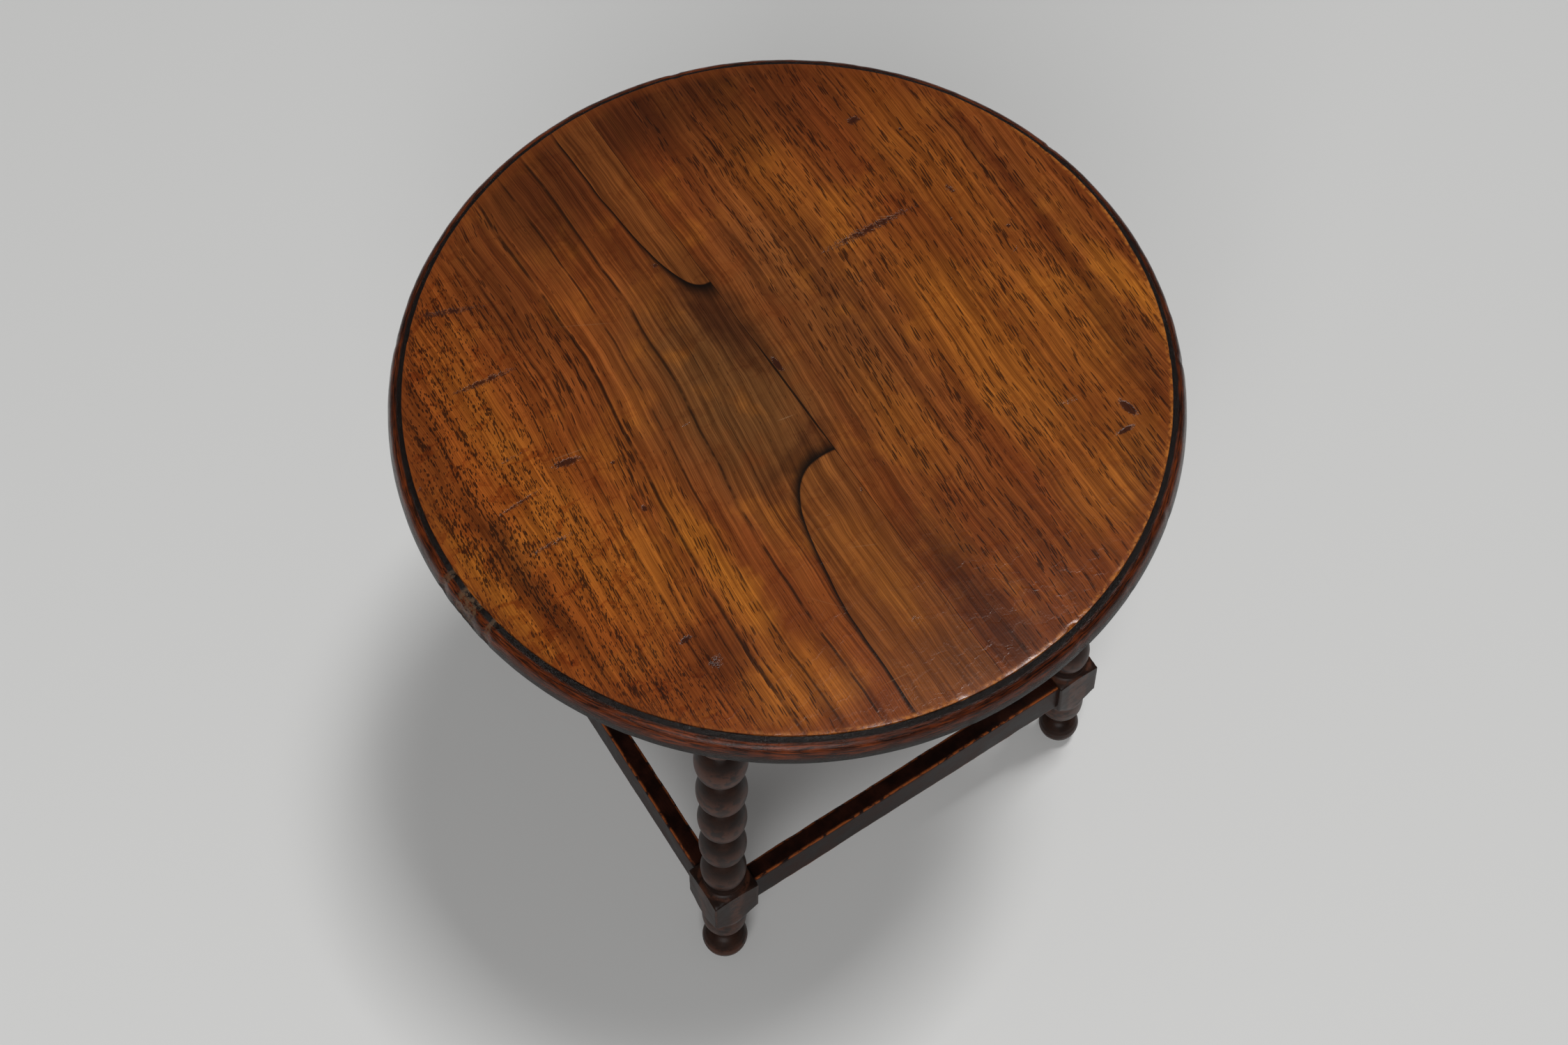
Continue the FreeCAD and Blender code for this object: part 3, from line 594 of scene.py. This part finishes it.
# dark stain under old wax on the legs and rails: nearly black brown, reddish where hands and feet have rubbed it
def darkStain(name, colours, wearAttribute, rubFrom, gloss):
    material, tree, shader = newMaterial(name)
    place = objectPlace(tree)
    mottle = addNode(tree, "TexNoise", place, Scale=1 / 18, Detail=5.0, Roughness=0.65)[0]
    fibre = streaks(tree, place, 1.2, 22.0, 3.0)
    colour = addNode(tree, "Mix", addNode(tree, "MapRange", mottle, 0.35, 0.7), hexColour(colours[0]),
            hexColour(colours[1]))
    colour = addNode(tree, "Mix", addNode(tree, "MapRange", fibre, 0.45, 0.75, To_Max=0.4), colour,
            hexColour(colours[0]))
    worn = addNode(tree, "Attribute", attribute_name=wearAttribute)["Fac"]
    scuffs = addNode(tree, "TexNoise", place, Scale=1 / 6, Detail=4.0, Roughness=0.6)[0]
    onCrests = addNode(tree, "Math", addNode(tree, "MapRange", worn, rubFrom[0], rubFrom[1]),
            addNode(tree, "MapRange", worn, 1.3, 1.1))
    onCorners = addNode(tree, "MapRange", worn, 1.84, 1.94, To_Max=0.8)  # corners of the square blocks
    rubbed = addNode(tree, "Math", addNode(tree, "Math", onCrests, onCorners, operation="MAXIMUM"),
            addNode(tree, "MapRange", scuffs, 0.4, 0.54))
    colour = addNode(tree, "Mix", addNode(tree, "Math", rubbed, 0.85), colour, hexColour(colours[2]))
    shader.inputs["Specular IOR Level"].default_value = gloss
    dressSurface(tree, shader, colour, addNode(tree, "Math", mottle, 0.25, 0.27, operation="MULTIPLY_ADD"),
                 addNode(tree, "Math", fibre, mottle, operation="ADD"), 0.3, 0.0002)
    return material


turnedFinish = darkStain("stainedTurnings", ("#170c08", "#29170f", "#43261a"), "crest", (0.7, 1.05), 0.12)
railFinish = darkStain("stainedRails", ("#120806", "#27120b", "#9a4f22"), "arris", (0.06, 0.34), 0.06)
legTree = bobbinLegTree(leg)
# turned by eye, so no two are quite alike: corner, size of the square, fullness of the foot
for name, corner, stock, fullness in (
        ("front_left", (-1, -1, 0), 0.034, 1.01), ("front_right", (1, -1, 0), 0.0315, 0.915),
        ("back_right", (1, 1, 0), 0.033, 0.96), ("back_left", (-1, 1, 0), 0.033, 0.97)):
    bakedPiece("turned_leg_" + name, legTree,
            {"Corner": corner, "Bead Radius": leg["beadRadius"], "Groove Radius": leg["grooveRadius"],
             "Bead Pitch": leg["beadPitch"], "Stock": stock, "Foot Fullness": fullness, "Wear": leg["wear"],
             "Finish": turnedFinish}, "leg_" + name)
print("legs turned")

railTree = wornRailTree(rails, leg)
for quarter, side in enumerate(("front", "right", "back", "left")):
    bakedPiece("worn_stretcher_" + side, railTree,
            {"Low": rails["low"], "Height": rails["height"], "Thickness": rails["thickness"],
             "Wear": rails["wear"], "Arris": rails["softArris"], "Quarter": float(quarter),
             "Finish": railFinish}, "stretcher_" + side)
print("stretchers made")

# parts that nobody sees from above: bare riven wood of the blocks and dowels, pale and dusty with open pores, and
# dull steel of the pocket screws, grey with rust in patches. Widths and lengths in millimetres
hidden = {"woodDark": "#7a5c3e", "woodPale": "#a98a62", "woodDirt": "#4a3524", "ringWidth": 2.2,
          "ringLength": 90.0, "pitWidth": 0.5, "pitLength": 4.0, "steelDark": "#4a4643", "steelPale": "#8d8882",
          "rust": "#5e3418"}


def bareWood(s):
    material, tree, shader = newMaterial("bareRivenOak")
    place = objectPlace(tree)
    rings = streaks(tree, place, s["ringWidth"], s["ringLength"], 3.0)
    pits = streaks(tree, place, s["pitWidth"], s["pitLength"], 2.0, 9.0)
    dirt = addNode(tree, "TexNoise", place, Scale=0.05, Detail=4.0)[0]
    colour = addNode(tree, "Mix", addNode(tree, "MapRange", rings, 0.35, 0.65), hexColour(s["woodDark"]),
            hexColour(s["woodPale"]))
    colour = addNode(tree, "Mix", addNode(tree, "MapRange", dirt, 0.45, 0.75, To_Max=0.6), colour,
            hexColour(s["woodDirt"]))
    colour = addNode(tree, "Mix", addNode(tree, "MapRange", pits, 0.62, 0.75, To_Max=0.6), colour,
            hexColour(s["woodDirt"]))
    dressSurface(tree, shader, colour, addNode(tree, "Math", rings, 0.2, 0.6, operation="MULTIPLY_ADD"),
                 addNode(tree, "Math", rings, pits, operation="SUBTRACT"), 0.5, 0.0003)
    return material


def dullSteel(s):
    material, tree, shader = newMaterial("dullScrewSteel")
    place = objectPlace(tree)
    grime = addNode(tree, "TexNoise", place, Scale=0.6, Detail=4.0, Roughness=0.65)[0]
    colour = addNode(tree, "Mix", grime, hexColour(s["steelDark"]), hexColour(s["steelPale"]))
    colour = addNode(tree, "Mix", addNode(tree, "MapRange", grime, 0.52, 0.64, To_Max=0.7), colour,
            hexColour(s["rust"]))
    shader.inputs["Metallic"].default_value = 0.85
    dressSurface(tree, shader, colour, addNode(tree, "Math", grime, 0.3, 0.32, operation="MULTIPLY_ADD"),
                 grime, 0.3, 0.0001)
    return material


oak, steel = bareWood(hidden), dullSteel(hidden)
finishes = {"top_dowels": oak, "top_screws": steel}
for side in ("front", "right", "back", "left"):
    finishes["glue_block_" + side] = oak
    finishes["apron_" + side] = railFinish
for name, finish in finishes.items():
    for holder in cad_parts[name].material_slots:
        holder.material = finish
print("carried-over parts finished")

walnutTop = waxedWalnut(walnut)

# the two boards, turned as one disc and parted at the joint. Lengths in metres
board = {
    "height": 0.465, "joint": -0.005, "around": 720, "flatRings": 170, "arris": 0.2163, "underside": 0.018,
    # moulded edge from the arris down: radius and depth
    "moulding": ((0.2163, 0.0), (0.21642, 0.0004), (0.2165, 0.0010), (0.21665, 0.0016), (0.2172, 0.0019),
        (0.2180, 0.00225), (0.2188, 0.0026), (0.2196, 0.0028), (0.2205, 0.00295), (0.2216, 0.0034),
        (0.2226, 0.0041), (0.2235, 0.0051), (0.2242, 0.0063), (0.2246, 0.0076), (0.2252, 0.0092), (0.2258, 0.0112),
        (0.2262, 0.0132), (0.2265, 0.0150), (0.2252, 0.0163), (0.2238, 0.0172), (0.2225, 0.0180)),
    "wear": 0.0004, "wave": 0.00012, "seed": 3.0, "edgeBand": 0.0016, "wornDownTo": 0.011, "sharpAngle": 38,
    "underRings": 12, "raggedScale": 420.0, "rubScale": 55.0, "waveScale": 14.0, "sinkShare": 0.4,
    # knocks in the moulding: azimuth in degrees, half width in degrees, depth of the bite
    "knocks": ((-173.5, 2.6, 0.0016), (-168.6, 0.8, 0.0012), (-178.4, 0.9, 0.0012), (-79.0, 0.8, 0.0006),
        (-68.0, 0.6, 0.0005), (-55.0, 0.7, 0.0006), (-98.0, 0.6, 0.0005), (-30.0, 0.9, 0.0006), (12.0, 0.8, 0.0005),
        (75.0, 0.8, 0.0005), (141.0, 1.0, 0.0006)),
}


def turnedDisc(s):
    radii = [(s["arris"] * (i + 1) / s["flatRings"], 0.0) for i in range(s["flatRings"] - 1)] + list(s["moulding"])
    inner = [(s["moulding"][-1][0] * (1 - (i + 1) / s["underRings"]), s["underside"])
             for i in range(s["underRings"] - 1)]
    rings = radii + inner
    count = s["around"]
    turn = [(math.cos(2 * math.pi * i / count), math.sin(2 * math.pi * i / count)) for i in range(count)]
    points = [(r * c, r * n, s["height"] - depth) for r, depth in rings for c, n in turn]
    faces = []
    for k in range(len(rings) - 1):
        for i in range(count):
            j = (i + 1) % count
            faces.append((k * count + i, (k + 1) * count + i, (k + 1) * count + j, k * count + j))
    points.append((0, 0, s["height"]))
    points.append((0, 0, s["height"] - s["underside"]))
    last = (len(rings) - 1) * count
    for i in range(count):
        j = (i + 1) % count
        faces.append((len(points) - 2, i, j))
        faces.append((len(points) - 1, last + j, last + i))
    mesh = bpy.data.meshes.new("turnedDisc")
    mesh.from_pydata(points, [], faces)
    return mesh


def partedBoard(disc, s, side):  # one half of the disc, closed again along the joint
    shape = bmesh.new()
    shape.from_mesh(disc)
    cut = bmesh.ops.bisect_plane(shape, geom=shape.verts[:] + shape.edges[:] + shape.faces[:], dist=1e-7,
            plane_co=(s["joint"], 0, 0), plane_no=(side, 0, 0), clear_inner=True)
    rim = [e for e in cut["geom_cut"] if isinstance(e, bmesh.types.BMEdge)]
    bmesh.ops.edgeloop_fill(shape, edges=rim)
    mesh = bpy.data.meshes.new("partedBoard")
    shape.to_mesh(mesh)
    shape.free()
    return mesh


def wornTopTree(s, w):  # wears the moulding and stores the stains, the painted shade along the far edge and the dents that the finish reads
    tree, sizes, result = newTree("wornTop", (("Board", "Geometry"), ("Wear", "Float"), ("Wave", "Float"),
            ("Seed", "Float"), ("Finish", "Material")))
    position = addNode(tree, "GeometryNodeInputPosition")
    place = addNode(tree, "VectorMath", position, Scale=1000.0, operation="SCALE")
    haze = addNode(tree, "TexNoise", place, Scale=0.07, Detail=4.0, Roughness=0.6, W=sizes["Seed"],
            noise_dimensions="4D")["Color"]
    drift = addNode(tree, "VectorMath", haze, (26, 40, 0), (-13, -20, 0), operation="MULTIPLY_ADD")
    soft = addNode(tree, "VectorMath", place, drift)
    # the dark spots hold real stains and painted shade along the far edge of the top
    stainsAndFarShade = addNode(tree, "CombineXYZ", softSpots(tree, soft, w["darkStainsAndFarShade"], 0.7),
            softSpots(tree, soft, w["paleStains"], 0.7), softSpots(tree, soft, w["oliveStains"], 0.7))
    # a dent is stored as a slope towards its middle, which the finish cuts off with noise, so its outline stays sharp
    marks = addNode(tree, "CombineXYZ", softSpots(tree, place, w["dents"], 0.95),
            softSpots(tree, soft, w["redStains"], 0.7))
    spot = addNode(tree, "SeparateXYZ", position)
    azimuth = addNode(tree, "Math", spot[1], spot[0], operation="ARCTAN2")
    flat = addNode(tree, "CombineXYZ", spot[0], spot[1])
    radius = addNode(tree, "VectorMath", flat, operation="LENGTH")
    onEdge = addNode(tree, "MapRange", radius, From_Min=s["arris"] - s["edgeBand"], From_Max=s["arris"])
    high = addNode(tree, "MapRange", spot[2], From_Min=s["height"] - s["underside"] * 0.97,
            From_Max=s["height"] - s["wornDownTo"])
    bite = None
    for middle, half, depth in s["knocks"]:
        away = addNode(tree, "Math", addNode(tree, "Math",
                addNode(tree, "Math", azimuth, math.radians(middle), operation="SUBTRACT"), math.pi, -math.pi,
                operation="WRAP"), operation="ABSOLUTE")
        knock = addNode(tree, "MapRange", away, From_Min=math.radians(half * 1.2), From_Max=math.radians(half * 0.5),
                To_Max=depth)
        bite = knock if bite is None else addNode(tree, "Math", bite, knock, operation="MAXIMUM")
    ragged = addNode(tree, "TexNoise", position, Scale=s["raggedScale"], Detail=3.0, Roughness=0.7)[0]
    ragged = addNode(tree, "MapRange", ragged, From_Min=0.36, From_Max=0.62, interpolation_type="LINEAR")
    rubbed = addNode(tree, "TexNoise", position, Scale=s["rubScale"], Detail=4.0, Roughness=0.65, W=sizes["Seed"],
            noise_dimensions="4D")[0]
    loss = addNode(tree, "Math", sizes["Wear"], addNode(tree, "MapRange", rubbed, From_Min=0.4, From_Max=0.75,
            interpolation_type="LINEAR"), addNode(tree, "Math", bite,
            addNode(tree, "Math", ragged, 0.6, 0.4, operation="MULTIPLY_ADD")), operation="MULTIPLY_ADD")
    loss = addNode(tree, "Math", addNode(tree, "Math", loss, onEdge), high)
    inward = addNode(tree, "VectorMath", addNode(tree, "VectorMath", flat, operation="NORMALIZE"),
            Scale=addNode(tree, "Math", loss, -1.0), operation="SCALE")
    wave = addNode(tree, "TexNoise", position, Scale=s["waveScale"], Detail=2.0)[0]
    isTop = addNode(tree, "Math", spot[2], s["height"] - 1e-5, operation="GREATER_THAN")
    sink = addNode(tree, "Math", addNode(tree, "Math", addNode(tree, "Math", wave, isTop), sizes["Wave"]), -1.0)
    sink = addNode(tree, "Math", sink, addNode(tree, "Math", loss, s["sinkShare"]), operation="SUBTRACT")
    offset = addNode(tree, "VectorMath", inward, addNode(tree, "CombineXYZ", Z=sink))
    geometry = sizes["Board"]
    for label, value in (("stainsAndFarShade", stainsAndFarShade), ("marks", marks)):
        geometry = addNode(tree, "GeometryNodeStoreNamedAttribute", geometry, Name=label, Value=value,
                data_type="FLOAT_VECTOR", domain="POINT")
    geometry = addNode(tree, "GeometryNodeStoreNamedAttribute", geometry, Name="broken",
            Value=addNode(tree, "Math", addNode(tree, "Math", bite, onEdge), high), data_type="FLOAT", domain="POINT")
    geometry = addNode(tree, "GeometryNodeSetPosition", geometry, Offset=offset)
    return closeTree(tree, geometry, sizes["Finish"], result)


disc = turnedDisc(board)
topTree = wornTopTree(board, walnut)
for name, side in (("left", -1), ("right", 1)):
    piece = bakedPiece("walnut_board_" + name, topTree,
            {"Wear": board["wear"], "Wave": board["wave"], "Seed": board["seed"], "Finish": walnutTop},
            "top_board_" + name, partedBoard(disc, board, side))
    piece.data.shade_smooth()
    piece.data.set_sharp_from_angle(angle=math.radians(board["sharpAngle"]))
bpy.data.meshes.remove(disc)
print("top boards made")
